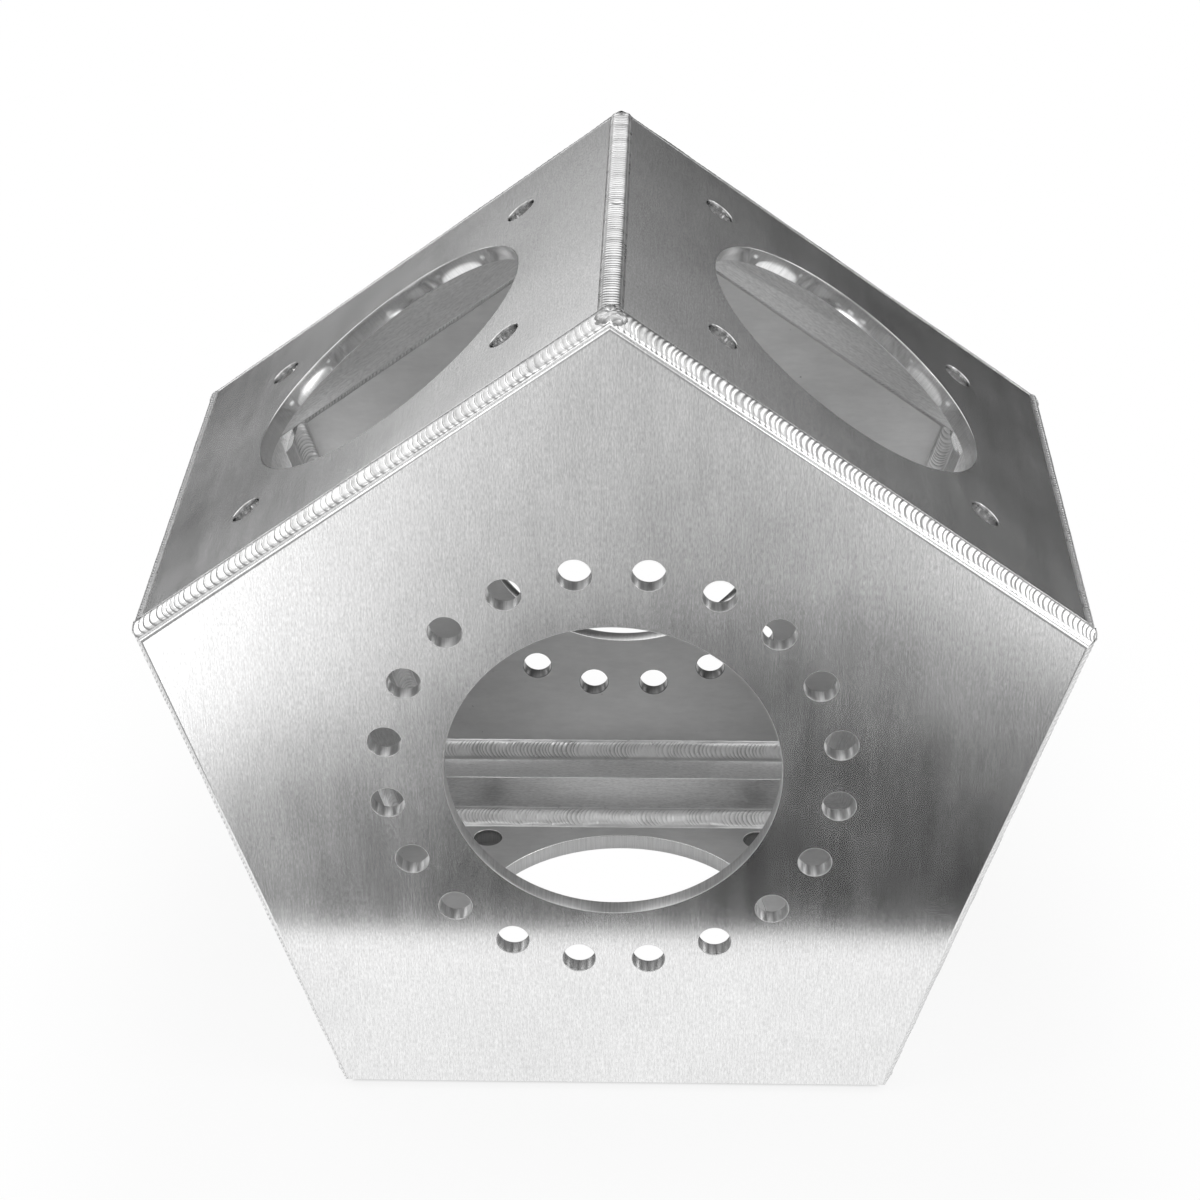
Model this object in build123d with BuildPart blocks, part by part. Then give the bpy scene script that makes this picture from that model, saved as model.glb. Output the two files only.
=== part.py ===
"""Truss junction block: a welded five-sided aluminium box that joins truss ends.

The block stands on its bottom wall. Its long axis lies along Y, its front cover faces -Y,
and the origin is in the middle of the bottom wall's outer face. All sizes are in millimetres.
Each wall carries the four-bolt pattern of one truss end, and each cover has a ring of holes
that takes the same pattern in five turned positions.
"""
from build123d import *
from math import cos, radians, sin, sqrt, tan
import os

os.makedirs("parts", exist_ok=True)

# Walls, by the angle at which each one faces out from the long axis, 0 being +X
wall_angles = {
    "bottom": -90,
    "lower_right": -18,
    "upper_right": 54,
    "upper_left": 126,
    "lower_left": 198,
}

# Outer corners between the walls, by the angle at which each one points
corner_angles = {
    "bottom_right": -54,
    "right": 18,
    "apex": 90,
    "left": 162,
    "bottom_left": 234,
}

# The two ends of the box, by the way each one faces along Y
ends = {"front": -1, "rear": 1}

# Box
flat_reach = 298.0  # long axis to a wall's outer face
plate_thickness = 14.0  # walls and covers are cut from one plate
wall_length = 395.0  # along Y, between the two covers

# Access hole in every wall and cover
access_diameter = 250.0

# Bolt holes
bolt_spacing = 240.0  # side of the square that one truss end bolts to
bolt_hole_diameter = 25.0
holes_per_pattern = 4

# Outer welds
cover_inset = 8.0  # cover's edge, in from the walls' outer faces
prep_reach = 7.0  # bevel at a wall's end, along Y
prep_depth = 4.0  # the same bevel, into the plate
corner_crown = 5.2  # height of a corner bead over the plates' edges
corner_round = 4.0  # where two end beads turn a corner

# Square bars welded inside, round each cover
bar_size = 40.0
cover_bead_reach = 15.0  # bead between a bar and its cover, along the cover
cover_bead_rise = 11.0  # the same bead, along the bar
wall_bead_reach = 20.0  # bead between a bar and its wall, along the wall
wall_bead_rise = 8.0  # the same bead, up the bar
joint_bead_width = 14.0  # bead in the inside corner of two bars, along each bar

# Worked out from the sizes above
side_count = len(wall_angles)
half_turn = 180 / side_count  # from a wall's facing to its corners, in degrees
half_depth = wall_length / 2 + plate_thickness
wall_end = wall_length / 2
inner_reach = flat_reach - plate_thickness
wall_width = 2 * inner_reach * tan(radians(half_turn))
cover_reach = flat_reach - cover_inset
bar_reach = inner_reach - bar_size
bar_end = wall_end - bar_size
ring_radius = bolt_spacing / sqrt(2)
ring_count = holes_per_pattern * side_count
ring_start = 180 / ring_count
rail_length = 2 * flat_reach * tan(radians(half_turn))
groove_root = inner_reach / cos(radians(half_turn))
lip_across = plate_thickness * sin(radians(half_turn))
lip_reach = groove_root + plate_thickness * cos(radians(half_turn))
crown_reach = lip_reach + corner_crown
envelope_reach = corner_round + (crown_reach - corner_round) * cos(radians(half_turn))
bar_corner_reach = bar_reach / cos(radians(half_turn))
toe_across = joint_bead_width * cos(radians(half_turn))
toe_reach = bar_corner_reach - joint_bead_width * sin(radians(half_turn))
centre = Vector(0, 0, flat_reach)


def facing_out(angle):
    """Direction from the long axis towards a wall or a corner."""
    return Vector(cos(radians(angle)), 0, sin(radians(angle)))


def round_the_axis(angle):
    """Direction square to facing_out, the way the angle grows."""
    return Vector(-sin(radians(angle)), 0, cos(radians(angle)))


def wall_plane(angle):
    """A wall's outer face: x across the wall, y along the block, z outwards."""
    out = facing_out(angle)
    return Plane(origin=centre + out * flat_reach, x_dir=-round_the_axis(angle), z_dir=out)


def wall_section(angle):
    """Cut through the middle of a wall: x is the place along Y, y the distance from the axis."""
    return Plane(origin=centre, x_dir=(0, 1, 0), z_dir=-round_the_axis(angle))


def corner_section(angle):
    """Cut across the block at a corner: y runs from the axis to the corner."""
    return Plane(origin=centre, x_dir=round_the_axis(angle), z_dir=(0, 1, 0))


def cover_plane(facing):
    """A cover's outer face, seen from outside with z up."""
    origin = centre + Vector(0, facing * half_depth, 0)
    return Plane(origin=origin, x_dir=(-facing, 0, 0), z_dir=(0, facing, 0))


def mitre_plane(angle, turn):
    """Plane through the axis and one corner of a wall, looking away from the wall."""
    return Plane(origin=centre, z_dir=round_the_axis(angle + turn * half_turn) * turn)


def prep_plane(angle, facing):
    """Weld bevel at one end of a wall, looking out of the metal."""
    toe = centre + facing_out(angle) * flat_reach
    toe = toe + Vector(0, facing * (wall_end - prep_reach), 0)
    slope = facing_out(angle) * prep_reach + Vector(0, facing * prep_depth, 0)
    return Plane(origin=toe, z_dir=slope)


# Walls
for side, angle in wall_angles.items():
    with BuildPart() as wall:
        with BuildSketch(wall_plane(angle)):
            Rectangle(wall_width, wall_length)
            Circle(access_diameter / 2, mode=Mode.SUBTRACT)
            with GridLocations(bolt_spacing, bolt_spacing, 2, 2):
                Circle(bolt_hole_diameter / 2, mode=Mode.SUBTRACT)
        extrude(amount=-plate_thickness)
        for facing in ends.values():
            split(bisect_by=prep_plane(angle, facing), keep=Keep.BOTTOM)
    wall.part.label = f"wall_{side}"
    export_step(wall.part, f"parts/wall_{side}.step")

# Covers
for end, facing in ends.items():
    with BuildPart() as cover:
        with BuildSketch(cover_plane(facing)):
            RegularPolygon(cover_reach, side_count, major_radius=False, rotation=90)
            Circle(access_diameter / 2, mode=Mode.SUBTRACT)
            with PolarLocations(ring_radius, ring_count, start_angle=ring_start):
                Circle(bolt_hole_diameter / 2, mode=Mode.SUBTRACT)
        extrude(amount=-plate_thickness)
    cover.part.label = f"{end}_cover"
    export_step(cover.part, f"parts/{end}_cover.step")

# Corner beads, which fill the open grooves between neighbouring walls
for corner, angle in corner_angles.items():
    with BuildPart() as corner_bead:
        with BuildSketch(corner_section(angle)):
            with BuildLine():
                Polyline((lip_across, lip_reach), (0, groove_root), (-lip_across, lip_reach))
                ThreePointArc((lip_across, lip_reach), (0, crown_reach), (-lip_across, lip_reach))
            make_face()
        extrude(amount=wall_end, both=True)
        for facing in ends.values():
            for turn in (-1, 1):
                split(bisect_by=prep_plane(angle + turn * half_turn, facing), keep=Keep.BOTTOM)
        # Dressed flush below, so that the block stands on its bottom wall
        split(bisect_by=Plane.XY, keep=Keep.TOP)
    corner_bead.part.label = f"corner_bead_{corner}"
    export_step(corner_bead.part, f"parts/corner_bead_{corner}.step")

# End beads, which close the step between a cover's edge and each wall, mitred at the corners
for side, angle in wall_angles.items():
    for end, facing in ends.items():
        cover_edge = (facing * half_depth, cover_reach)
        step_root = (facing * wall_end, cover_reach)
        prep_root = (facing * wall_end, flat_reach - prep_depth)
        wall_toe = (facing * (wall_end - prep_reach), flat_reach)
        with BuildPart() as end_bead:
            with BuildSketch(wall_section(angle)):
                with BuildLine():
                    Polyline(cover_edge, step_root, prep_root, wall_toe)
                    TangentArc(wall_toe, cover_edge, tangent=(facing, 0))
                make_face()
            extrude(amount=rail_length, both=True)
            for turn in (-1, 1):
                split(bisect_by=mitre_plane(angle, turn), keep=Keep.BOTTOM)
            # Rounded at the corners, level there with the crowns of the corner beads
            with BuildSketch(cover_plane(facing)) as envelope:
                RegularPolygon(envelope_reach, side_count, major_radius=False, rotation=90)
                fillet(envelope.vertices(), corner_round)
            extrude(amount=-half_depth, mode=Mode.INTERSECT)
        end_bead.part.label = f"{end}_bead_{side}"
        export_step(end_bead.part, f"parts/{end}_bead_{side}.step")

# Inner frames: square bars in the corner between each cover and the walls
for side, angle in wall_angles.items():
    for end, facing in ends.items():
        bar_middle = (facing * (bar_end + bar_size / 2), bar_reach + bar_size / 2)
        with BuildPart() as bar:
            with BuildSketch(wall_section(angle)):
                with Locations(bar_middle):
                    Rectangle(bar_size, bar_size)
            extrude(amount=rail_length, both=True)
            for turn in (-1, 1):
                split(bisect_by=mitre_plane(angle, turn), keep=Keep.BOTTOM)
        bar.part.label = f"{end}_bar_{side}"
        export_step(bar.part, f"parts/{end}_bar_{side}.step")

# Inner beads between the bars and the covers
for side, angle in wall_angles.items():
    for end, facing in ends.items():
        bead_root = (facing * wall_end, bar_reach)
        cover_toe = (facing * wall_end, bar_reach - cover_bead_reach)
        bar_toe = (facing * (wall_end - cover_bead_rise), bar_reach)
        with BuildPart() as cover_bead:
            with BuildSketch(wall_section(angle)):
                with BuildLine():
                    Polyline(cover_toe, bead_root, bar_toe, close=True)
                make_face()
            extrude(amount=rail_length, both=True)
            for turn in (-1, 1):
                split(bisect_by=mitre_plane(angle, turn), keep=Keep.BOTTOM)
        cover_bead.part.label = f"{end}_cover_bead_{side}"
        export_step(cover_bead.part, f"parts/{end}_cover_bead_{side}.step")

# Inner beads between the bars and the walls
for side, angle in wall_angles.items():
    for end, facing in ends.items():
        bead_root = (facing * bar_end, inner_reach)
        bar_toe = (facing * bar_end, inner_reach - wall_bead_rise)
        wall_toe = (facing * (bar_end - wall_bead_reach), inner_reach)
        with BuildPart() as wall_bead:
            with BuildSketch(wall_section(angle)):
                with BuildLine():
                    Polyline(bar_toe, bead_root, wall_toe, close=True)
                make_face()
            extrude(amount=rail_length, both=True)
            for turn in (-1, 1):
                split(bisect_by=mitre_plane(angle, turn), keep=Keep.BOTTOM)
        wall_bead.part.label = f"{end}_wall_bead_{side}"
        export_step(wall_bead.part, f"parts/{end}_wall_bead_{side}.step")

# Inner beads where two bars of one frame meet, between the cover beads and the bars' free faces
for end, facing in ends.items():
    bead_root = (0, bar_corner_reach)
    bar_toes = [(turn * toe_across, toe_reach) for turn in (-1, 1)]
    with BuildPart() as joint_beads:
        for angle in corner_angles.values():
            with BuildSketch(corner_section(angle).offset(facing * bar_end)):
                with BuildLine():
                    Polyline(bead_root, *bar_toes, close=True)
                make_face()
            extrude(amount=facing * (bar_size - cover_bead_rise))
    joint_beads.part.label = f"{end}_joint_beads"
    export_step(joint_beads.part, f"parts/{end}_joint_beads.step")
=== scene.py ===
"""Looks of the truss junction block: brushed plates, rippled weld beads, bars and a studio."""
from math import cos, pi, radians, sin, sqrt, tan

import bmesh
import bpy
import numpy as np
from mathutils import Euler, Matrix, Vector


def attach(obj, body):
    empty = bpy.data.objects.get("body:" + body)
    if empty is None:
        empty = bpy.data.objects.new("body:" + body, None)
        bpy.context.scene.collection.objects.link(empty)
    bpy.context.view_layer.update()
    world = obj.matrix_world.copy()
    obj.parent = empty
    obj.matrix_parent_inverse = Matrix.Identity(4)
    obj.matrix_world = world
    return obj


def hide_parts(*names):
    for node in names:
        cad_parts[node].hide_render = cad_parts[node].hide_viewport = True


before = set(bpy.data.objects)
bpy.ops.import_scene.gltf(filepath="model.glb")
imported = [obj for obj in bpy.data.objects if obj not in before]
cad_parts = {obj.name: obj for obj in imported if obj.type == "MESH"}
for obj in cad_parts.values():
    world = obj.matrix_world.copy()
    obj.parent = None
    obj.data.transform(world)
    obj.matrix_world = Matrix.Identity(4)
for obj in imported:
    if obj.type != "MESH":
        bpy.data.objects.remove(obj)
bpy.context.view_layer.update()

# Sizes in metres, the same ones as the frame's
MM = 0.001
WALLS = {"bottom": -90, "lower_right": -18, "upper_right": 54, "upper_left": 126, "lower_left": 198}
CORNERS = {"bottom_right": -54, "right": 18, "apex": 90, "left": 162, "bottom_left": 234}
ENDS = {"front": -1, "rear": 1}
HALF_TURN = radians(180 / len(WALLS))
FLAT = 298 * MM  # long axis to a wall's outer face
PLATE = 14 * MM  # thickness of walls and covers
WALL_END = 197.5 * MM  # half a wall's length along Y
HALF_DEPTH = WALL_END + PLATE
INNER = FLAT - PLATE
COVER_REACH = FLAT - 8 * MM  # long axis to a cover's edge
ACCESS = 125 * MM  # radius of the access holes
BOLT_HOLE = 12.5 * MM  # radius of the bolt holes
BOLT_HALF = 120 * MM  # half the side of a wall's square of bolt holes
RING = BOLT_HALF * sqrt(2)
RING_COUNT = 4 * len(WALLS)
PREP_REACH = 7 * MM  # bevel at a wall's end, along Y
PREP_DEPTH = 4 * MM  # the same bevel, into the plate
BAR = 40 * MM  # side of the inner bars
BAR_REACH = INNER - BAR
BAR_END = WALL_END - BAR
BAR_CORNER = BAR_REACH / cos(HALF_TURN)
GROOVE_ROOT = INNER / cos(HALF_TURN)
LIP_ACROSS = PLATE * sin(HALF_TURN)
LIP_REACH = GROOVE_ROOT + PLATE * cos(HALF_TURN)
CROWN_REACH = 367.3 * MM  # how far from the long axis weld metal may stand, by the CAD's crowns
CENTRE = np.array([0, 0, FLAT])
ALONG = np.array([0, 1.0, 0])


def out_of(angle):
    """Direction from the long axis towards a wall or corner."""
    return np.array([cos(radians(angle)), 0, sin(radians(angle))])


def round_of(angle):
    """Direction square to out_of, the way the angle grows."""
    return np.array([-sin(radians(angle)), 0, cos(radians(angle))])


# Node helpers
def new_material(name):
    """An empty node material and its tree."""
    material = bpy.data.materials.new(name)
    material.use_nodes = True
    material.node_tree.nodes.clear()
    return material, material.node_tree


def node(tree, kind, inputs=None, **settings):
    """Adds a node; inputs are values or sockets, by name or number."""
    made = tree.nodes.new(kind)
    for key, value in settings.items():
        setattr(made, key, value)
    for key, value in (inputs or {}).items():
        if isinstance(value, bpy.types.NodeSocket):
            tree.links.new(value, made.inputs[key])
        else:
            made.inputs[key].default_value = value
    return made


def math_node(tree, operation, *values, clamp=False):
    made = node(tree, "ShaderNodeMath", dict(enumerate(values)), operation=operation, use_clamp=clamp)
    return made.outputs[0]


def product(tree, *values):
    """Multiplies any number of values."""
    total = values[0]
    for value in values[1:]:
        total = math_node(tree, "MULTIPLY", total, value)
    return total


def weighted(tree, first, first_share, second, second_share):
    """Adds two values, each times its share."""
    return math_node(tree, "ADD", product(tree, first, first_share), product(tree, second, second_share))


def map_range(tree, value, low, high, to_low=0.0, to_high=1.0, kind="LINEAR"):
    """Turns low to high into to_low to to_high, and holds the value there outside them."""
    inputs = {0: value, 1: low, 2: high, 3: to_low, 4: to_high}
    return node(tree, "ShaderNodeMapRange", inputs, interpolation_type=kind).outputs[0]


def smooth(tree, value, low, high, to_low=0.0, to_high=1.0):
    """Like map_range, with soft ends."""
    return map_range(tree, value, low, high, to_low, to_high, "SMOOTHSTEP")


def noise(tree, vector, scale, detail, roughness=0.5, stretch=(1, 1, 1)):
    """Noise from about 0.3 to 0.7, with scale swings to the metre. A stretch below 1 draws it out
    along that axis."""
    mapped = node(tree, "ShaderNodeMapping", {"Vector": vector, "Scale": stretch}).outputs[0]
    made = node(tree, "ShaderNodeTexNoise",
                {"Vector": mapped, "Scale": scale, "Detail": detail, "Roughness": roughness})
    return made.outputs[0]


def grey(tree, value):
    """A colour with the same red, green and blue."""
    return node(tree, "ShaderNodeCombineColor", {0: value, 1: value, 2: value}).outputs[0]


def bump_node(tree, height, distance, strength, normal=None):
    """Normals for a height that stands for so many metres, on top of other bumps."""
    inputs = {"Strength": strength, "Distance": distance, "Height": height}
    if normal:
        inputs["Normal"] = normal
    return node(tree, "ShaderNodeBump", inputs).outputs[0]


# Materials
def metal(material, tone, settings):
    """Finishes a metal whose colour is one tone of grey."""
    tree = material.node_tree
    shader = node(tree, "ShaderNodeBsdfPrincipled",
                  {"Metallic": 1.0, "Base Color": grey(tree, tone), **settings})
    node(tree, "ShaderNodeOutputMaterial", {"Surface": shader.outputs[0]})
    return material


def grain_tangent(tree):
    """Direction of u of the grain UVs, which turns the anisotropic gloss."""
    return node(tree, "ShaderNodeTangent", direction_type="UV_MAP", uv_map="grain").outputs[0]


def brushed(name, tone, roughness, anisotropy, grain, haze):
    """Rolled and brushed aluminium. The grain runs along v of the grain UVs.

    Tone is its brightness, grain the depth of its marks, haze how much its gloss varies."""
    material, tree = new_material(name)
    uv = node(tree, "ShaderNodeUVMap", uv_map="grain").outputs[0]
    place = node(tree, "ShaderNodeTexCoord").outputs["Object"]
    fine = noise(tree, uv, 1100, 2, 0.6, stretch=(1, 0.22, 1))
    streaks = noise(tree, uv, 700, 3, 0.7, stretch=(1, 0.06, 1))
    broad = noise(tree, uv, 45, 3, 0.6, stretch=(1, 0.12, 1))
    clouds = noise(tree, place, 9, 4, 0.55)
    pits = noise(tree, place, 420, 1)
    waves = noise(tree, place, 5, 1, 0.4)
    brushing = map_range(tree, weighted(tree, fine, 0.6, streaks, 0.4), 0.38, 0.62,
                         tone * 0.82, tone * 1.09)
    shade = map_range(tree, clouds, 0.3, 0.7, 0.96, 1.02)
    dirt = map_range(tree, pits, 0.14, 0.20, 0.75, 1.0)
    rough = map_range(tree, math_node(tree, "ADD", clouds, broad), 0.7, 1.3,
                      roughness - haze, roughness + haze)
    bump = bump_node(tree, weighted(tree, streaks, 0.6, fine, 0.4), 0.12 * MM, grain)
    bump = bump_node(tree, waves, 1.2 * MM, 0.5, bump)
    return metal(material, product(tree, brushing, shade, dirt),
                 {"Anisotropic": anisotropy, "Roughness": rough, "Normal": bump,
                  "Tangent": grain_tangent(tree)})


def welded(name, tone, roughness, line, side, side_start, other_side, patchy):
    """Weld metal: bright, softly pitted, with painted shade in the creases between its crescents.

    On beads, u of the bead UVs counts the crescents and v runs from -1 to 1 across. Line is how
    dark the painted shade in the creases is, and side how dark the painted shade in bands along the
    edges, which starts at side_start; other_side is the share of that on the edge with v above 0.
    Patchy is the least share of the creases' painted shade, which comes and goes in patches."""
    material, tree = new_material(name)
    place = node(tree, "ShaderNodeTexCoord").outputs["Object"]
    uv = node(tree, "ShaderNodeUVMap", uv_map="bead").outputs[0]
    axes = node(tree, "ShaderNodeSeparateXYZ", {0: uv}).outputs
    fine = noise(tree, place, 1100, 3, 0.6)
    blotches = noise(tree, place, 110, 4, 0.6)
    patches = map_range(tree, noise(tree, place, 38, 3, 0.6), 0.38, 0.6, patchy, 1.0)
    share = math_node(tree, "FRACT", axes[0])
    across = math_node(tree, "ABSOLUTE", axes[1])
    # Painted shade in the creases between the crescents, coming and going in patches along the bead
    creases = product(tree, smooth(tree, share, 0.25, 0.95),
                      smooth(tree, across, 0.78, 0.9, 1.0, 0.0), patches)
    # Painted shade in bands along the edges; on the edge with v above 0 only the other_side share of it
    painted_edge_shade = product(tree, smooth(tree, across, side_start, 0.8),
                    smooth(tree, across, 0.88, 0.95, 1.0, 0.0),
                    map_range(tree, axes[1], -0.2, 0.2, 1.0, other_side))
    # The darker of the two painted shades darkens the clean tone
    painted_shade = math_node(tree, "MAXIMUM", product(tree, creases, line), product(tree, painted_edge_shade, side))
    clean = map_range(tree, blotches, 0.3, 0.7, tone * 0.92, tone * 1.04)
    rough = map_range(tree, blotches, 0.3, 0.7, roughness - 0.05, roughness + 0.05)
    return metal(material, product(tree, clean, math_node(tree, "SUBTRACT", 1.0, painted_shade)),
                 {"Roughness": rough, "Normal": bump_node(tree, fine, 0.12 * MM, 0.2)})


def milled(name, tone, roughness):
    """Plain rolled aluminium as it comes from the mill: cloudy, with a few dark specks."""
    material, tree = new_material(name)
    place = node(tree, "ShaderNodeTexCoord").outputs["Object"]
    clouds = noise(tree, place, 16, 4, 0.6, stretch=(1, 1, 2))
    fine = noise(tree, place, 260, 3, 0.6, stretch=(0.3, 1, 1))
    pits = noise(tree, place, 240, 1)
    shade = product(tree, map_range(tree, clouds, 0.3, 0.7, tone * 0.88, tone * 1.03),
                    map_range(tree, fine, 0.3, 0.7, 0.96, 1.02),
                    map_range(tree, pits, 0.16, 0.21, 0.6, 1.0))
    rough = map_range(tree, clouds, 0.3, 0.7, roughness - 0.04, roughness + 0.05)
    return metal(material, shade, {"Roughness": rough, "Normal": bump_node(tree, clouds, 1.5 * MM, 0.5)})


def machined(name, tone, roughness, contrast, anisotropy):
    """Walls of the cut holes, polished, with fine marks that run through the plate."""
    material, tree = new_material(name)
    uv = node(tree, "ShaderNodeUVMap", uv_map="grain").outputs[0]
    marks = noise(tree, uv, 700, 2, 0.6, stretch=(0.05, 1, 1))
    bands = noise(tree, uv, 30, 2)
    shade = map_range(tree, marks, 0.35, 0.65, tone * (1 - contrast), tone * 1.04)
    rough = map_range(tree, bands, 0.3, 0.7, roughness - 0.03, roughness + 0.03)
    bump = bump_node(tree, marks, 0.1 * MM, 0.1)
    return metal(material, shade,
                 {"Anisotropic": anisotropy, "Roughness": rough, "Normal": bump,
                  "Tangent": grain_tangent(tree)})


COVER_METAL = brushed("brushed_cover", tone=0.90, roughness=0.19, anisotropy=0.6, grain=0.05, haze=0.02)
WALL_METAL = brushed("brushed_wall", tone=0.88, roughness=0.21, anisotropy=0.4, grain=0.04, haze=0.02)
BAR_METAL = brushed("drawn_bar", tone=0.86, roughness=0.34, anisotropy=0.3, grain=0.08, haze=0.02)
# Line and side give how dark the painted shade is in the creases and along the edges
WELD_METAL = welded("weld_metal", tone=0.92, roughness=0.25, line=0.52,
                    side=0.55, side_start=0.3, other_side=0.1, patchy=0.7)
CORNER_METAL = welded("corner_weld_metal", tone=0.84, roughness=0.30, line=0.5,
                      side=0.35, side_start=0.4, other_side=0.0, patchy=0.5)
KNOT_METAL = welded("knot_weld_metal", tone=0.74, roughness=0.42, line=0.6,
                    side=0.0, side_start=0.4, other_side=0.0, patchy=0.6)
FILLET_METAL = welded("fillet_metal", tone=0.90, roughness=0.32, line=0.45,
                      side=0.2, side_start=0.6, other_side=1.0, patchy=0.1)
MILL_METAL = milled("mill_finish", tone=0.77, roughness=0.44)
BORE_METAL = machined("bored_hole", tone=0.88, roughness=0.13, contrast=0.10, anisotropy=0.85)
DRILLED_METAL = machined("drilled_hole", tone=0.74, roughness=0.34, contrast=0.16, anisotropy=0.6)
SHADED_METAL = machined("unlit_hole", tone=0.22, roughness=0.3, contrast=0.2, anisotropy=0.6)


# Mesh helpers
def add_object(name, mesh, node_name):
    """A piece that stands for one CAD node."""
    made = bpy.data.objects.new(name, mesh)
    bpy.context.scene.collection.objects.link(made)
    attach(made, "root")
    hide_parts(node_name)


def loop_ring(kind, data, shrink):
    """Points of an outline or hole, moved by shrink into the metal.

    The data of an outline are its corners, those of a hole its x, y, radius and number of points."""
    if kind == "hole":
        x, y, radius, count = data
        turns = np.arange(count) * 2 * pi / count
        reach = radius + shrink
        return np.stack([x + reach * np.cos(turns), y + reach * np.sin(turns)], 1)
    points = np.array(data, float)
    before = np.roll(points, 1, 0)
    after = np.roll(points, -1, 0)
    first = (points - before) / np.linalg.norm(points - before, axis=1)[:, None]
    second = (after - points) / np.linalg.norm(after - points, axis=1)[:, None]
    normal_a = np.stack([-first[:, 1], first[:, 0]], 1)
    normal_b = np.stack([-second[:, 1], second[:, 0]], 1)
    middle = normal_a + normal_b
    return points + shrink * 2 * middle / (middle ** 2).sum(1)[:, None]


SHARP = radians(32)  # edges that turn by more than this look sharp
FACE_ON = 0.999  # z of the normals of a plate's two faces, at least

# Faces of a plate, in the order of its metals
OUTSIDE, ACCESS_HOLE, INSIDE, BOLT_HOLES = range(4)


def edge_profile(edge, steps=3):
    """How far a rounded edge stands in from the side, and down from the face: a quarter turn."""
    turns = [pi / 2 * step / steps for step in range(steps + 1)] if edge > 0 else [0]
    return [(edge * (1 - sin(turn)), -edge * (1 - cos(turn))) for turn in turns]


def plate(name, outline, outline_edge, holes, hole_edge, thickness, to_world, metals, cuts=()):
    """A plate with rounded edges: the outline runs counter-clockwise, z is 0 at its outer face.

    Each cut is a point and a direction, and takes off what lies beyond the point that way."""
    bm = bmesh.new()
    caps = ([], [])
    loops = [("outline", outline, outline_edge)] + [("hole", hole, hole_edge) for hole in holes]
    for kind, data, edge in loops:
        if kind == "outline":
            slot = OUTSIDE
        else:
            slot = ACCESS_HOLE if data[2] == ACCESS else BOLT_HOLES
        profile = edge_profile(edge)
        lower = [(shrink, -thickness - depth) for shrink, depth in reversed(profile)]
        rings = []
        for shrink, depth in profile + lower:
            ring = loop_ring(kind, data, shrink)
            rings.append([bm.verts.new((p[0], p[1], depth)) for p in ring])
        caps[0].append(rings[0])
        caps[1].append(rings[-1])
        for upper, under in zip(rings, rings[1:]):
            for i in range(len(upper)):
                k = (i + 1) % len(upper)
                bm.faces.new((upper[i], under[i], under[k], upper[k])).material_index = slot
    for rings in caps:
        edges = []
        for ring in rings:
            for i in range(len(ring)):
                edges.append(bm.edges.get((ring[i], ring[(i + 1) % len(ring)])))
        bmesh.ops.triangle_fill(bm, use_beauty=True, edges=edges)
    for point, direction in cuts:
        cut = bmesh.ops.bisect_plane(bm, geom=bm.verts[:] + bm.edges[:] + bm.faces[:],
                                     plane_co=point, plane_no=direction, clear_outer=True)
        rim = [e for e in cut["geom_cut"] if isinstance(e, bmesh.types.BMEdge)]
        bmesh.ops.triangle_fill(bm, use_beauty=True, edges=rim)
    bmesh.ops.recalc_face_normals(bm, faces=bm.faces)
    grain = bm.loops.layers.uv.new("grain")
    for face in bm.faces:
        face.smooth = abs(face.normal.z) <= FACE_ON
        if face.normal.z < -FACE_ON:
            face.material_index = INSIDE
        hole = None
        if face.material_index in (ACCESS_HOLE, BOLT_HOLES):
            middle = face.calc_center_median()
            hole = min(holes, key=lambda h: abs(
                (middle.x - h[0]) ** 2 + (middle.y - h[1]) ** 2 - h[2] ** 2))
            middle_turn = np.arctan2(middle.y - hole[1], middle.x - hole[0])
        for loop in face.loops:
            x, y, z = loop.vert.co
            if hole:
                # Unrolled without a jump where the turn goes from 180 to -180 degrees
                turn = np.arctan2(y - hole[1], x - hole[0])
                turn = middle_turn + (turn - middle_turn + pi) % (2 * pi) - pi
                loop[grain].uv = (z, turn * hole[2])
            else:
                loop[grain].uv = (x, y)
    for edge in bm.edges:
        if len(edge.link_faces) == 2:
            one, two = edge.link_faces
            if one.normal.angle(two.normal, 0) > SHARP or one.smooth != two.smooth:
                edge.smooth = False
    bm.transform(to_world)
    if to_world.determinant() < 0:
        bmesh.ops.reverse_faces(bm, faces=bm.faces)
    mesh = bpy.data.meshes.new(name)
    bm.to_mesh(mesh)
    bm.free()
    for finish in metals:
        mesh.materials.append(finish)
    return mesh


def basis(origin, x_dir, y_dir, z_dir):
    """Matrix of a place with its own axes."""
    rows = [[x_dir[i], y_dir[i], z_dir[i], origin[i]] for i in range(3)]
    return Matrix(rows + [[0, 0, 0, 1]])


# Plates
HOLE_EDGE = 0.5 * MM
COVER_EDGE = 2.2 * MM
ACCESS_POINTS = 160
BOLT_POINTS = 48
access_hole = (0, 0, ACCESS, ACCESS_POINTS)
for side, angle in WALLS.items():
    half = INNER * tan(HALF_TURN)
    outline = [(-half, -WALL_END), (half, -WALL_END), (half, WALL_END), (-half, WALL_END)]
    holes = [access_hole]
    for x in (-BOLT_HALF, BOLT_HALF):
        holes += [(x, y, BOLT_HOLE, BOLT_POINTS) for y in (-BOLT_HALF, BOLT_HALF)]
    cuts = [((0, facing * (WALL_END - PREP_REACH), 0),
             Vector((0, facing * PREP_DEPTH, PREP_REACH)).normalized()) for facing in (-1, 1)]
    place = basis(CENTRE + out_of(angle) * FLAT, -round_of(angle), ALONG, out_of(angle))
    mesh = plate(f"plate_{side}", outline, 0, holes, HOLE_EDGE, PLATE, place,
                 (WALL_METAL, BORE_METAL, MILL_METAL, BORE_METAL), cuts)
    add_object(f"plate_{side}", mesh, f"wall_{side}")

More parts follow.
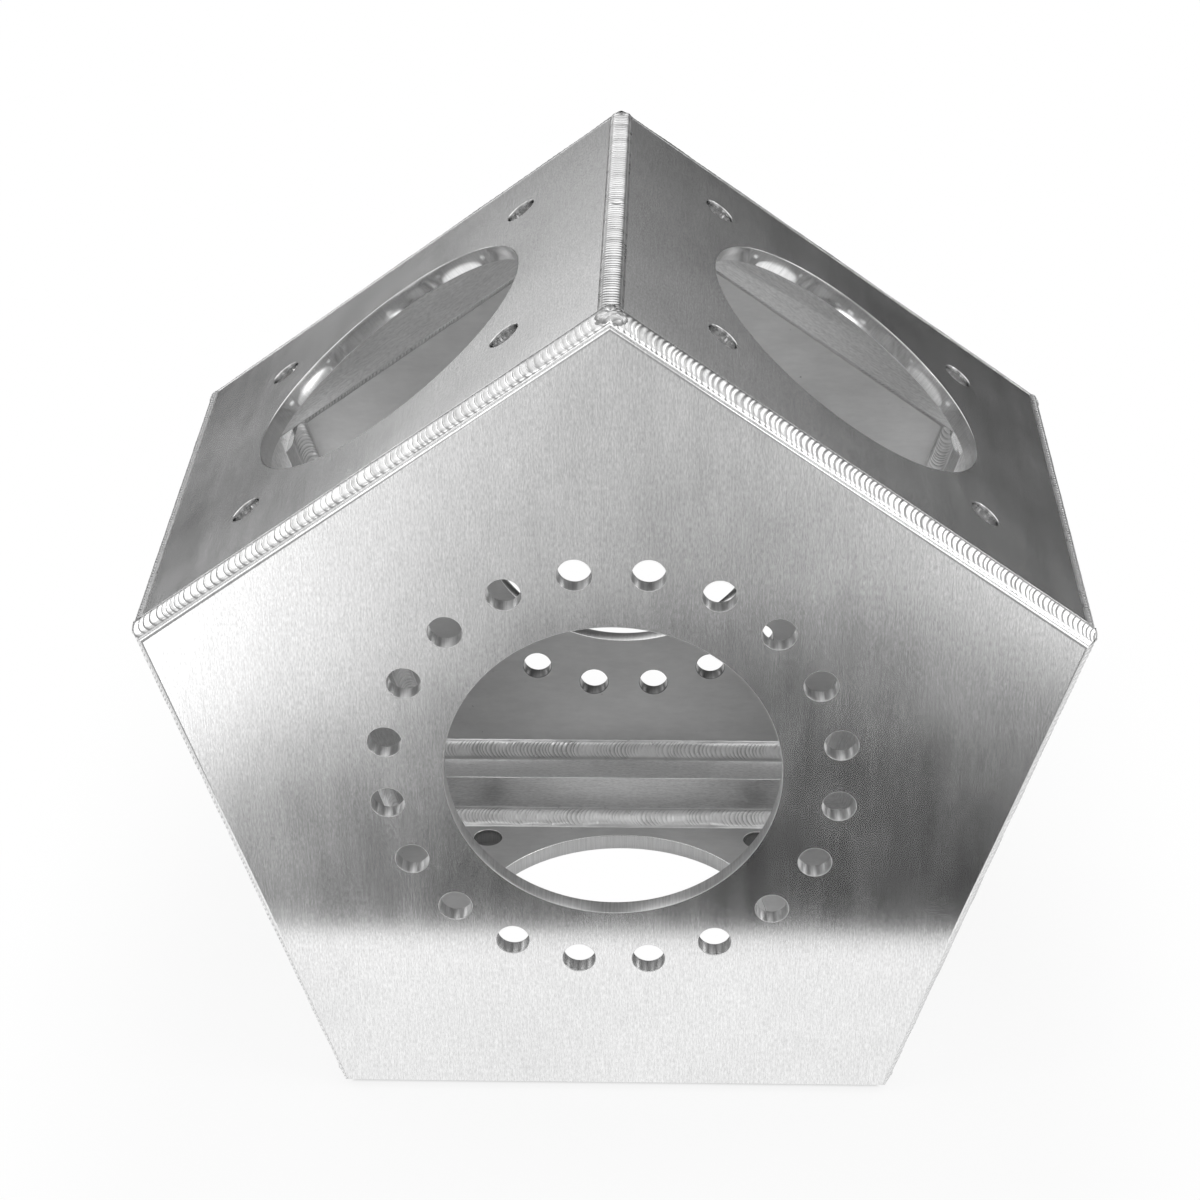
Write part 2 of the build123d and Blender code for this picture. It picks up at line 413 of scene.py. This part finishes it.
# The ring holes of the rear cover lie in shade, and those of the front one look plainly drilled
for end, facing in ENDS.items():
    corner = COVER_REACH / cos(HALF_TURN)
    turns = [pi / 2 + 2 * HALF_TURN * i for i in range(len(WALLS))]
    outline = [(corner * cos(turn), corner * sin(turn)) for turn in turns]
    holes = [access_hole]
    for i in range(RING_COUNT):
        turn = 2 * pi * (i + 0.5) / RING_COUNT
        holes.append((RING * cos(turn), RING * sin(turn), BOLT_HOLE, BOLT_POINTS))
    if end == "front":
        access_metal, ring_metal = DRILLED_METAL, DRILLED_METAL
    else:
        access_metal, ring_metal = BORE_METAL, SHADED_METAL
    place = basis(CENTRE + ALONG * facing * HALF_DEPTH, (-facing, 0, 0), (0, 0, 1), (0, facing, 0))
    mesh = plate(f"plate_{end}", outline, COVER_EDGE, holes, HOLE_EDGE, PLATE, place,
                 (COVER_METAL, access_metal, MILL_METAL, ring_metal))
    add_object(f"plate_{end}", mesh, f"{end}_cover")


# Weld beads

# Places across half a bead, from 0 in its middle to 1 at a toe
FLANK = 0.84  # rows of points are even up to here
RIMS = (1, 0.96, 0.91, FLANK)
RIPPLED = 0.9  # crescents reach to here
LIP_PLACE, LIP_WIDTH = 0.96, 0.025
GROOVE_PLACE, GROOVE_WIDTH = 0.90, 0.035

PEAK = 0.78  # share of the pitch at which a crescent is highest
SINK = 0.3 * MM  # keeps a bead's sides below the metal beside it

# Points of each slow random change along a bead: of where its crescents lead, of its crown and of
# its toes
LEAD_POINTS, CROWN_POINTS, TOE_POINTS = 40, 30, 70
LEAD_DRIFT = 0.03  # of the first, in half widths of the bead

# Hollow where the welder stopped on the apex bead, with a low ring round it
STOP_PLACE = 0.0
STOP_DEPTH, STOP_RADIUS = 0.7 * MM, 2.6 * MM
STOP_RING, STOP_RING_RADIUS, STOP_RING_WIDTH = 0.25 * MM, 5 * MM, 1.6 * MM


def ripples(rng, along, across, length, pitch, bow, uneven):
    """Overlapping crescents at places along and across (-1 to 1) a bead: heights from 0 to 1, and
    a count that grows by one from each crescent to the next.

    Bow is how far a crescent's middle leads. The crescents start before the bead and end after it."""
    count = int(length / pitch * 1.3) + 20
    steps = pitch * rng.uniform(1 - uneven, 1 + uneven, count)
    starts = np.cumsum(steps) - steps[0] - 0.1 * length - 6 * pitch
    heights = rng.uniform(1 - 1.2 * uneven, 1.0, count)
    slants = rng.normal(0, 0.25 * uneven, count)
    place = along + bow * (1 - across ** 2) + length / 2
    k = np.clip(np.searchsorted(starts, place, side="right") - 1, 0, count - 2)
    share = np.clip((place - starts[k]) / (starts[k + 1] - starts[k]), 0, 1)
    crescent = np.where(share < PEAK, share / PEAK, (1 - share) / (1 - PEAK))
    return heights[k] * crescent * (1 + slants[k] * across), k + share


def bead_shell(place, half_length, toe_a, toe_b, root, seed, *, crown, pitch, bow, height, step, rows,
               middle=0.0, power=4, groove=0.35 * MM, lip=0.25 * MM, uneven=0.35,
               wander=0.15 * MM, swelling=0.3 * MM, stops=()):
    """A closed bead between two toes, over a root.

    The toes and the root are (u, v) in the bead's section, and place turns (along, u, v) into
    points. Half_length gives how far the bead reaches from its middle at a place in the section.
    Crown is its height over the line between the toes, and a higher power makes it squarer. Height
    is that of its crescents, step the distance of its points along it, and rows their number
    across. A groove and a lip follow each toe. The toes wander and the crown swells a little, and
    the stops are places along the bead with a hollow."""
    rng = np.random.default_rng(seed)
    toe_a, toe_b, root = (np.array(p, float) for p in (toe_a, toe_b, root))
    inner = np.linspace(-FLANK, FLANK, rows - 5)[1:-1]
    across = np.concatenate([[-r for r in RIMS], inner, RIMS[::-1]])
    chord = toe_b - toe_a
    width = np.linalg.norm(chord)
    normal = np.array([-chord[1], chord[0]]) / width
    if normal @ ((toe_a + toe_b) / 2 - root) < 0:
        normal = -normal
    size = np.abs(across)
    profile = crown * (1 - size ** power)
    profile = profile + lip * np.exp(-((size - LIP_PLACE) / LIP_WIDTH) ** 2)
    profile = profile - groove * np.exp(-((size - GROOVE_PLACE) / GROOVE_WIDTH) ** 2)
    base = toe_a + (across[:, None] + 1) / 2 * chord + normal * profile[:, None]
    longest = max(half_length(p) for p in (toe_a, toe_b, root))
    count = int(2 * longest / step)
    share = np.linspace(-1, 1, count + 1)
    reach = np.array([half_length(p) for p in base])
    along = share[:, None] * reach[None, :]

    def drift(amount, points):
        """A slow random change along the bead."""
        return np.interp(along, np.linspace(-longest, longest, points), rng.normal(0, amount, points))

    wide = np.clip(across[None, :] / RIPPLED, -1, 1)
    leading = np.clip(wide + drift(LEAD_DRIFT, LEAD_POINTS), -1, 1)
    lump, phase = ripples(rng, along, leading, 2 * longest, pitch, bow, uneven)
    faded = np.clip((1 - np.abs(wide) ** 4) * 1.4, 0, 1)
    lift = lump * height * faded + drift(swelling, CROWN_POINTS) * (1 - across[None, :] ** 2)
    for stop in stops:
        away = np.hypot(along - stop, across[None, :] * width / 2)
        lift = lift - STOP_DEPTH * np.exp(-(away / STOP_RADIUS) ** 2)
        lift = lift + STOP_RING * np.exp(-((away - STOP_RING_RADIUS) / STOP_RING_WIDTH) ** 2)
    aside = drift(wander, TOE_POINTS) * across[None, :] ** 3
    section = base[None, :, :] + normal * lift[:, :, None] + (chord / width) * aside[:, :, None]
    columns = [(along[:, j], section[:, j, 0], section[:, j, 1]) for j in range(len(across))]
    for point in (toe_b - normal * SINK, root, toe_a - normal * SINK):
        spread = share * half_length(point)
        columns.append((spread, np.full(count + 1, point[0]), np.full(count + 1, point[1])))
    grid = np.stack([place(w + middle, u, v) for w, u, v in columns], 1)
    total = len(columns)
    marks = np.zeros((count + 1, total, 2))
    marks[:, :len(across), 0] = phase
    marks[:, :len(across), 1] = across
    marks[:, len(across):, 1] = 1
    faces = []
    for i in range(count):
        for j in range(total):
            k = (j + 1) % total
            faces.append((i * total + j, i * total + k, (i + 1) * total + k, (i + 1) * total + j))
    faces.append(tuple(range(total)))
    faces.append(tuple(count * total + j for j in range(total)))
    return grid.reshape(-1, 3), faces, marks.reshape(-1, 2)


# Lumps of weld metal where three beads meet
KNOT_RADII = (12.2 * MM, 9 * MM, 8.8 * MM)  # across the corner, along Y and outwards
KNOT_SIZE = 0.74  # of all but the front apex one
KNOT_ROOT = 348.8 * MM  # long axis to its foot
KNOT_PAST_WALL = 1.5 * MM  # from the end of the walls to its middle

# Its surface, in shares of its radii
KNOT_BODY = 0.93
SWELLS, SWELL_LOW, SWELL_HIGH, SWELL_FOCUS = 44, -0.05, 0.06, 30
CREASES, CREASE_DEPTH, CREASE_WIDTH = 4, 0.06, 0.07
SWELL_LINES = 30  # lines of painted crease shade from a swell of 0 to one of 1


def random_way(rng):
    """A direction at random."""
    way = rng.normal(0, 1, 3)
    return way / np.linalg.norm(way)


def knot_shell(centre, axes, radii, seed, turns=48, rings=30):
    """A closed lump of weld metal with soft swells and creases."""
    rng = np.random.default_rng(seed)
    polar = np.linspace(0, pi, rings + 1)[1:-1]
    around = np.arange(turns) * 2 * pi / turns
    ways = [(0, 0, 1.0)]
    for p in polar:
        ways += [(sin(p) * cos(t), sin(p) * sin(t), cos(p)) for t in around]
    ways = np.array(ways + [(0, 0, -1.0)])
    swell = np.zeros(len(ways))
    for _ in range(SWELLS):
        way = random_way(rng)
        swell = swell + rng.uniform(SWELL_LOW, SWELL_HIGH) * np.exp(-(1 - ways @ way) * SWELL_FOCUS)
    for _ in range(CREASES):
        way = random_way(rng)
        away = ways @ way + rng.uniform(-0.5, 0.5)
        swell = swell - CREASE_DEPTH * np.exp(-(away / CREASE_WIDTH) ** 2)
    points = centre + (ways * np.array(radii) * (KNOT_BODY + swell)[:, None]) @ np.array(axes)
    faces = [(0, 1 + (i + 1) % turns, 1 + i) for i in range(turns)]
    for r in range(len(polar) - 1):
        a, b = 1 + r * turns, 1 + (r + 1) * turns
        faces += [(a + i, a + (i + 1) % turns, b + (i + 1) % turns, b + i) for i in range(turns)]
    last = len(ways) - 1
    a = last - turns
    faces += [(a + i, a + (i + 1) % turns, last) for i in range(turns)]
    marks = np.stack([swell * SWELL_LINES, np.zeros(len(ways))], 1)
    return points, faces, marks


SOFT = 0.1 * MM  # how gently weld metal is held back at its limit
FALL_START, FALL_SLOPE = WALL_END - 9 * MM, 0.15  # place along Y from which the limit falls


def within(points):
    """Keeps weld metal above the table and under the crowns of the corner beads, which fall away at
    their ends."""
    fall = FALL_SLOPE * np.maximum(np.abs(points[:, 1]) - FALL_START, 0)
    for angle in CORNERS.values():
        room = CROWN_REACH - fall - (points - CENTRE) @ out_of(angle)
        kept = SOFT * np.logaddexp(0, room / SOFT)
        points = points + np.multiply.outer(room - kept, out_of(angle))
    points[:, 2] = np.maximum(points[:, 2], 0)
    return points


def shell_mesh(name, shells, *metals):
    """One mesh from closed shells, with their marks as the bead UVs. The first shell takes the first
    metal, the others the last."""
    verts, faces, marks, slots = [], [], [], []
    for number, (points, loops, shell_marks) in enumerate(shells):
        start = len(verts)
        verts += [tuple(p) for p in within(np.array(points))]
        faces += [tuple(start + i for i in loop) for loop in loops]
        marks += [tuple(m) for m in shell_marks]
        slots += [min(number, len(metals) - 1)] * len(loops)
    mesh = bpy.data.meshes.new(name)
    mesh.from_pydata(verts, [], faces)
    bm = bmesh.new()
    bm.from_mesh(mesh)
    bmesh.ops.recalc_face_normals(bm, faces=bm.faces)
    bead = bm.loops.layers.uv.new("bead")
    for face, slot in zip(bm.faces, slots):
        face.material_index = slot
        face.smooth = len(face.verts) <= 4
        for loop in face.loops:
            loop[bead].uv = marks[loop.vert.index]
    bm.to_mesh(mesh)
    bm.free()
    for finish in metals:
        mesh.materials.append(finish)
    return mesh


def side_place(angle, facing):
    """Points from (along the wall, along Y from the middle, distance from the axis)."""
    def place(w, y, reach):
        return (CENTRE + np.multiply.outer(reach, out_of(angle)) + np.multiply.outer(w, round_of(angle))
                + np.multiply.outer(facing * y, ALONG))
    return place


def corner_place(angle):
    """Points from (along Y, across the corner, distance from the axis)."""
    def place(w, p, reach):
        return (CENTRE + np.multiply.outer(reach, out_of(angle)) + np.multiply.outer(p, round_of(angle))
                + np.multiply.outer(w, ALONG))
    return place


def mitred(point):
    """Half length of a bead or bar that is mitred at the corners, at a distance from the axis."""
    return point[1] * tan(HALF_TURN)


def corner_ends(point):
    """Half length of a corner bead, which is shorter at its toes."""
    return WALL_END - CORNER_SHORT - CORNER_TAPER * abs(point[0])


def joint_ends(point):
    """Half length of a bead between two bars, the same everywhere."""
    return JOINT_HALF


# End beads, and the inner beads along a bar. Those that show in the photo have closer points: the
# end beads in front and the inner ones behind. The upper left end beads have wider crescents.
END_TOE_WALL = (WALL_END - PREP_REACH, FLAT + 0.05 * MM)
END_TOE_COVER = (HALF_DEPTH - 2.8 * MM, COVER_REACH + 0.2 * MM)  # below the cover's rounded edge
COVER_BEAD_REACH, COVER_BEAD_RISE = 15 * MM, 11 * MM
WALL_BEAD_REACH, WALL_BEAD_RISE = 20 * MM, 8 * MM
COVER_BEAD_SEED, WALL_BEAD_SEED, KNOT_SEED = 100, 200, 300  # on top of the outer bead's own
seed = 11
for side, angle in WALLS.items():
    for end, facing in ENDS.items():
        seed += 1
        place = side_place(angle, facing)
        shown = end == "front"
        shell = bead_shell(place, mitred, END_TOE_WALL, END_TOE_COVER, (WALL_END, COVER_REACH), seed,
                           crown=1.6 * MM, pitch=(5.4 if side == "upper_left" else 4.5) * MM,
                           bow=-4.6 * MM, height=0.38 * MM, step=(0.5 if shown else 0.9) * MM, rows=20,
                           lip=0.2 * MM, uneven=0.32, wander=0.08 * MM, swelling=0.2 * MM)
        mesh = shell_mesh(f"seam_{end}_{side}", [shell], WELD_METAL)
        add_object(f"seam_{end}_{side}", mesh, f"{end}_bead_{side}")
        fine = dict(crown=1.2 * MM, pitch=3.4 * MM, bow=5.5 * MM, height=0.45 * MM,
                    step=(1.3 if shown else 0.7) * MM, rows=14, groove=0.15 * MM, lip=0.1 * MM,
                    uneven=0.42)
        shell = bead_shell(place, mitred, (WALL_END, BAR_REACH - COVER_BEAD_REACH),
                           (WALL_END - COVER_BEAD_RISE, BAR_REACH), (WALL_END, BAR_REACH),
                           seed + COVER_BEAD_SEED, **fine)
        mesh = shell_mesh(f"fillet_cover_{end}_{side}", [shell], FILLET_METAL)
        add_object(f"fillet_cover_{end}_{side}", mesh, f"{end}_cover_bead_{side}")
        shell = bead_shell(place, mitred, (BAR_END, INNER - WALL_BEAD_RISE),
                           (BAR_END - WALL_BEAD_REACH, INNER), (BAR_END, INNER),
                           seed + WALL_BEAD_SEED, **fine)
        mesh = shell_mesh(f"fillet_wall_{end}_{side}", [shell], FILLET_METAL)
        add_object(f"fillet_wall_{end}_{side}", mesh, f"{end}_wall_bead_{side}")

# Corner beads, with the lumps at their ends
CORNER_SHORT, CORNER_TAPER = 1.5 * MM, 0.45  # shorter than a wall's half, and more so at the toes
TOE = 0.9 * MM  # how far a toe reaches past the edge of the groove
TOE_DROP = TOE * tan(HALF_TURN) - 0.14 * MM  # leaves it just above the plate
for corner, angle in CORNERS.items():
    seed += 1
    axes = (round_of(angle), ALONG, out_of(angle))
    toes = [(turn * (LIP_ACROSS + TOE), LIP_REACH - TOE_DROP) for turn in (-1, 1)]
    shells = [bead_shell(corner_place(angle), corner_ends, *toes, (0, GROOVE_ROOT), seed,
                         crown=3.4 * MM, pitch=4.2 * MM, bow=-2.2 * MM, height=0.95 * MM,
                         step=0.5 * MM, rows=18, power=5, groove=0.1 * MM, lip=0.12 * MM,
                         uneven=0.16, wander=0.05 * MM, swelling=0.06 * MM,
                         stops=(STOP_PLACE,) if corner == "apex" else ())]
    for end, facing in ENDS.items():
        size = 1.0 if (corner, end) == ("apex", "front") else KNOT_SIZE
        radii = [radius * size for radius in KNOT_RADII]
        heart = (CENTRE + out_of(angle) * (KNOT_ROOT + radii[2])
                 + ALONG * facing * (WALL_END + KNOT_PAST_WALL))
        shells.append(knot_shell(heart, axes, radii, seed + KNOT_SEED + facing))
    mesh = shell_mesh(f"seam_{corner}", shells, CORNER_METAL, KNOT_METAL)
    add_object(f"seam_{corner}", mesh, f"corner_bead_{corner}")

# Beads in the corners between neighbouring bars of one frame
JOINT_WIDTH = 14 * MM  # along each bar
JOINT_MIDDLE = BAR_END + (BAR - COVER_BEAD_RISE) / 2
JOINT_HALF = 14.3 * MM  # half their length
for end, facing in ENDS.items():
    shells = []
    for angle in CORNERS.values():
        seed += 1
        toes = [(turn * JOINT_WIDTH * cos(HALF_TURN), BAR_CORNER - JOINT_WIDTH * sin(HALF_TURN))
                for turn in (-1, 1)]
        shells.append(bead_shell(corner_place(angle), joint_ends, *toes, (0, BAR_CORNER), seed,
                                 crown=2.2 * MM, pitch=4 * MM, bow=3 * MM, height=1.1 * MM,
                                 step=0.6 * MM, rows=16, middle=facing * JOINT_MIDDLE))
    mesh = shell_mesh(f"knuckles_{end}", shells, WELD_METAL)
    add_object(f"knuckles_{end}", mesh, f"{end}_joint_beads")


# Bars
BAR_EDGE = 0.7 * MM
EDGE_STEPS = 4  # points round each long edge of a bar
GRAIN_LENGTH = 0.35  # of the grain UVs along a bar
SIDE_SHIFT = 0.05  # between the grain UVs of a bar's sides


def bar_mesh(name, place):
    """A square bar with rounded long edges and mitred ends."""
    section = []
    for x, y, start in ((BAR_END, BAR_REACH, 180), (WALL_END, BAR_REACH, 270),
                        (WALL_END, INNER, 0), (BAR_END, INNER, 90)):
        inwards = (1 if x == BAR_END else -1, 1 if y == BAR_REACH else -1)
        for i in range(EDGE_STEPS):
            turn = radians(start + 90 * i / (EDGE_STEPS - 1))
            section.append((x + inwards[0] * BAR_EDGE + BAR_EDGE * cos(turn),
                            y + inwards[1] * BAR_EDGE + BAR_EDGE * sin(turn)))
    section = np.array(section)
    bm = bmesh.new()
    ends = []
    for turn in (-1, 1):
        points = place(turn * mitred(section.T), section[:, 0], section[:, 1])
        ends.append([bm.verts.new(p) for p in points])
    grain = bm.loops.layers.uv.new("grain")
    total = len(section)
    for i in range(total):
        k = (i + 1) % total
        face = bm.faces.new((ends[0][i], ends[0][k], ends[1][k], ends[1][i]))
        face.smooth = i % EDGE_STEPS != EDGE_STEPS - 1
        width = np.linalg.norm(section[k] - section[i])
        for loop, (u, v) in zip(face.loops, ((0, 0), (width, 0), (width, 1), (0, 1))):
            loop[grain].uv = (u + i * SIDE_SHIFT, v * GRAIN_LENGTH)
    for ring in ends:
        bm.faces.new(ring)
    bmesh.ops.recalc_face_normals(bm, faces=bm.faces)
    mesh = bpy.data.meshes.new(name)
    bm.to_mesh(mesh)
    bm.free()
    mesh.materials.append(BAR_METAL)
    return mesh


for side, angle in WALLS.items():
    for end, facing in ENDS.items():
        mesh = bar_mesh(f"bar_{end}_{side}", side_place(angle, facing))
        add_object(f"bar_{end}_{side}", mesh, f"{end}_bar_{side}")


# Studio
WHITE = (1, 1, 1, 1)


def degrees_of(tree, operation, *values):
    """The angle that an inverse function gives, in degrees."""
    return math_node(tree, "DEGREES", math_node(tree, operation, *values))


def hump(tree, value, middle, width, power=2.0):
    """1 at middle, and 1 / e at a distance of width. Powers above 2 give it a flatter top."""
    away = math_node(tree, "DIVIDE", math_node(tree, "SUBTRACT", value, middle), width)
    away = math_node(tree, "POWER", math_node(tree, "ABSOLUTE", away), power)
    return math_node(tree, "EXPONENT", math_node(tree, "MULTIPLY", away, -1.0))


def panel(tree, turn, rise, level, middle, width, low, soft, fade, tilt=0.0):
    """A soft light round a middle turn, with a lower edge at low that is soft degrees wide. It fades
    upwards, by 1 / e every fade degrees, and the edge climbs by tilt for each degree of turn."""
    lean = math_node(tree, "MULTIPLY", math_node(tree, "SUBTRACT", turn, middle), tilt)
    above = math_node(tree, "SUBTRACT", math_node(tree, "SUBTRACT", rise, low), lean)
    edge = smooth(tree, above, 0.0, soft)
    drop = math_node(tree, "DIVIDE", math_node(tree, "MAXIMUM", above, 0.0), -fade)
    drop = math_node(tree, "EXPONENT", drop)
    return product(tree, level, hump(tree, turn, middle, width), edge, drop)


def spot(tree, turn, rise, level, turn_middle, turn_width, rise_middle, rise_width,
         turn_power=2.0, rise_power=2.0):
    """A soft light round a middle turn and a middle rise."""
    return product(tree, level, hump(tree, turn, turn_middle, turn_width, turn_power),
                   hump(tree, rise, rise_middle, rise_width, rise_power))


def link_world(tree):
    """Soft light by direction: white for the camera, and for the object what follows.

    Rise is the angle above the horizon in degrees. Front and back are the turns from straight in
    front and straight behind, both positive towards +X, and aside is the turn either way."""
    direction = node(tree, "ShaderNodeTexCoord").outputs["Generated"]
    axes = node(tree, "ShaderNodeSeparateXYZ", {0: direction}).outputs
    rise = degrees_of(tree, "ARCSINE", axes[2])
    front = degrees_of(tree, "ARCTAN2", axes[0], math_node(tree, "MULTIPLY", axes[1], -1.0))
    back = degrees_of(tree, "ARCTAN2", axes[0], axes[1])
    aside = math_node(tree, "ABSOLUTE", front)
    # Dark cloths low in front and behind, and a lighter one above the second
    cloths = (
        product(tree, smooth(tree, rise, -30.4, -26.9, 1.0, 0.0), hump(tree, front, 10.6, 31.8, 4.0)),
        product(tree, smooth(tree, rise, 6.3, 9.1, 1.0, 0.0), hump(tree, back, 0.0, 49.0, 4.0),
                smooth(tree, rise, -14.0, -8.0)),
        spot(tree, back, rise, 0.8, 9.0, 34.0, 26.0, 15.0, 4.0, 4.0),
    )
    level = 0.35  # of the plain surroundings
    for cloth in cloths:
        level = math_node(tree, "MULTIPLY", level, math_node(tree, "SUBTRACT", 1.0, cloth))
    lights = (
        # Low in front, mirrored by the front cover: level, middle and width of the turn, lower edge,
        # its softness, fade and tilt
        panel(tree, front, rise, 3.0, -17.6, 8.4, -34.9, 2.0, 23.3, 0.26),
        panel(tree, front, rise, 3.0, 13.9, 4.9, -31.6, 2.0, 14.6),
        # Behind, mirrored by the upper walls and the beads on top: level, middle and width of the
        # turn, middle and width of the rise
        spot(tree, back, rise, 3.0, -35.8, 13.4, 7.6, 3.0),
        spot(tree, back, rise, 1.9, 40.5, 13.9, 11.3, 3.2),
        spot(tree, back, rise, 0.8, -30.0, 24.0, 44.0, 14.0),
        # On both sides, mirrored by the end beads and the bored holes: the same, and the powers
        spot(tree, aside, rise, 0.25, 92.0, 38.0, 27.0, 20.0, 4.0, 4.0),
        spot(tree, front, rise, 2.8, 73.0, 15.0, 27.0, 12.0, 4.0, 4.0),
        spot(tree, front, rise, 2.0, -67.0, 13.0, 42.0, 9.0, 4.0, 4.0),
        spot(tree, front, rise, 3.0, 117.0, 17.0, 21.0, 4.2, 4.0),
        spot(tree, front, rise, 2.2, -117.0, 17.0, 24.5, 6.0, 4.0),
        # Overhead, fading towards the zenith
        product(tree, smooth(tree, rise, 38.0, 58.0, 0.0, 1.15),
                smooth(tree, rise, 66.0, 80.0, 1.0, 0.35)),
    )
    for light in lights:
        level = math_node(tree, "ADD", level, light)
    rays = node(tree, "ShaderNodeLightPath").outputs
    strength = math_node(tree, "MAXIMUM", level, rays["Is Camera Ray"])
    background = node(tree, "ShaderNodeBackground", {"Color": WHITE, "Strength": strength})
    node(tree, "ShaderNodeOutputWorld", {"Surface": background.outputs[0]})


world = bpy.data.worlds.new("studio")
bpy.context.scene.world = world
world.use_nodes = True
world.node_tree.nodes.clear()
link_world(world.node_tree)

# A pale table top, which ends a little in front of the block, outside the picture. It glows white
# for the camera and for reflections, but not where the block stands on it, where its colour is darkened
# as a painted shadow.
TABLE_SIDE, TABLE_FRONT, TABLE_BACK = 1.0, -0.425, 0.9
TABLE_TOP = -0.2 * MM
STAND_HALF_WIDTH, STAND_HALF_DEPTH = 206 * MM, 200 * MM  # bottom wall with its end beads
RIM_FADE = ACCESS + 5 * MM
SHADE, PALE = 0.3, 0.85  # painted shadow colour under the block, and own colour around it
MIRRORED = 0.08  # how much of the part below the access hole shows in reflections


def link_table(tree):
    """Pale, and glowing round the block and below the bottom wall's access hole; darker under the rest
    of the block, a painted shadow.
    """
    rays = node(tree, "ShaderNodeLightPath").outputs
    seen = math_node(tree, "ADD", math_node(tree, "ADD", rays["Is Camera Ray"], rays["Is Glossy Ray"]),
                     rays["Is Transmission Ray"], clamp=True)
    mirrored = math_node(tree, "MAXIMUM", rays["Is Glossy Ray"], rays["Is Transmission Ray"])
    place = node(tree, "ShaderNodeTexCoord").outputs["Object"]
    axes = node(tree, "ShaderNodeSeparateXYZ", {0: place}).outputs
    gap = math_node(tree, "MAXIMUM",
                    math_node(tree, "SUBTRACT", math_node(tree, "ABSOLUTE", axes[0]), STAND_HALF_WIDTH),
                    math_node(tree, "SUBTRACT", math_node(tree, "ABSOLUTE", axes[1]), STAND_HALF_DEPTH))
    # Nearly white beside the block, and white farther out
    outside = math_node(tree, "ADD", smooth(tree, gap, -0.005, 0.004, 0.0, PALE),
                        smooth(tree, gap, 0.1, 0.35, 0.0, 1.0 - PALE))
    distance = node(tree, "ShaderNodeVectorMath", {0: place}, operation="LENGTH").outputs["Value"]
    through = product(tree, smooth(tree, distance, ACCESS, RIM_FADE, 1.0, 0.0),
                      map_range(tree, mirrored, 0.0, 1.0, 1.0, MIRRORED))
    glowing = math_node(tree, "MAXIMUM", outside, through)
    # Painted shadow: the colour is darker under the block, except below its access hole
    lit = math_node(tree, "MAXIMUM", outside, map_range(tree, distance, ACCESS, RIM_FADE, 1.0, 0.0))
    colour = grey(tree, map_range(tree, lit, 0.0, PALE, SHADE, PALE))
    matt = node(tree, "ShaderNodeBsdfDiffuse", {"Color": colour}).outputs[0]
    glow = node(tree, "ShaderNodeEmission", {"Color": WHITE, "Strength": 1}).outputs[0]
    blend = node(tree, "ShaderNodeMixShader", {0: product(tree, seen, glowing), 1: matt, 2: glow})
    node(tree, "ShaderNodeOutputMaterial", {"Surface": blend.outputs[0]})


floor_mesh = bpy.data.meshes.new("table")
table_corners = [(-TABLE_SIDE, TABLE_FRONT), (TABLE_SIDE, TABLE_FRONT),
                 (TABLE_SIDE, TABLE_BACK), (-TABLE_SIDE, TABLE_BACK)]
floor_mesh.from_pydata([(x, y, TABLE_TOP) for x, y in table_corners], [], [(0, 1, 2, 3)])
floor = bpy.data.objects.new("table", floor_mesh)
bpy.context.scene.collection.objects.link(floor)
floor_material, floor_tree = new_material("pale_table")
link_table(floor_tree)
floor_material.cycles.emission_sampling = "NONE"
floor_mesh.materials.append(floor_material)

# Camera, as fitted to the photograph
CAMERA_PLACE = (0.04425, -1.94007, 1.42397)
CAMERA_TILT, CAMERA_ROLL, CAMERA_HEADING = 60.50297, 0.42574, 1.49867  # round X, Y and Z, in degrees
camera_data = bpy.data.cameras.new("camera")
camera_data.lens = 83.80
camera_data.sensor_width = 36
camera = bpy.data.objects.new("camera", camera_data)
bpy.context.scene.collection.objects.link(camera)
turned = Euler([radians(angle) for angle in (CAMERA_TILT, CAMERA_ROLL, CAMERA_HEADING)])
camera.matrix_world = Matrix.Translation(CAMERA_PLACE) @ turned.to_matrix().to_4x4()
bpy.context.scene.camera = camera

bpy.context.scene.view_settings.view_transform = "Standard"
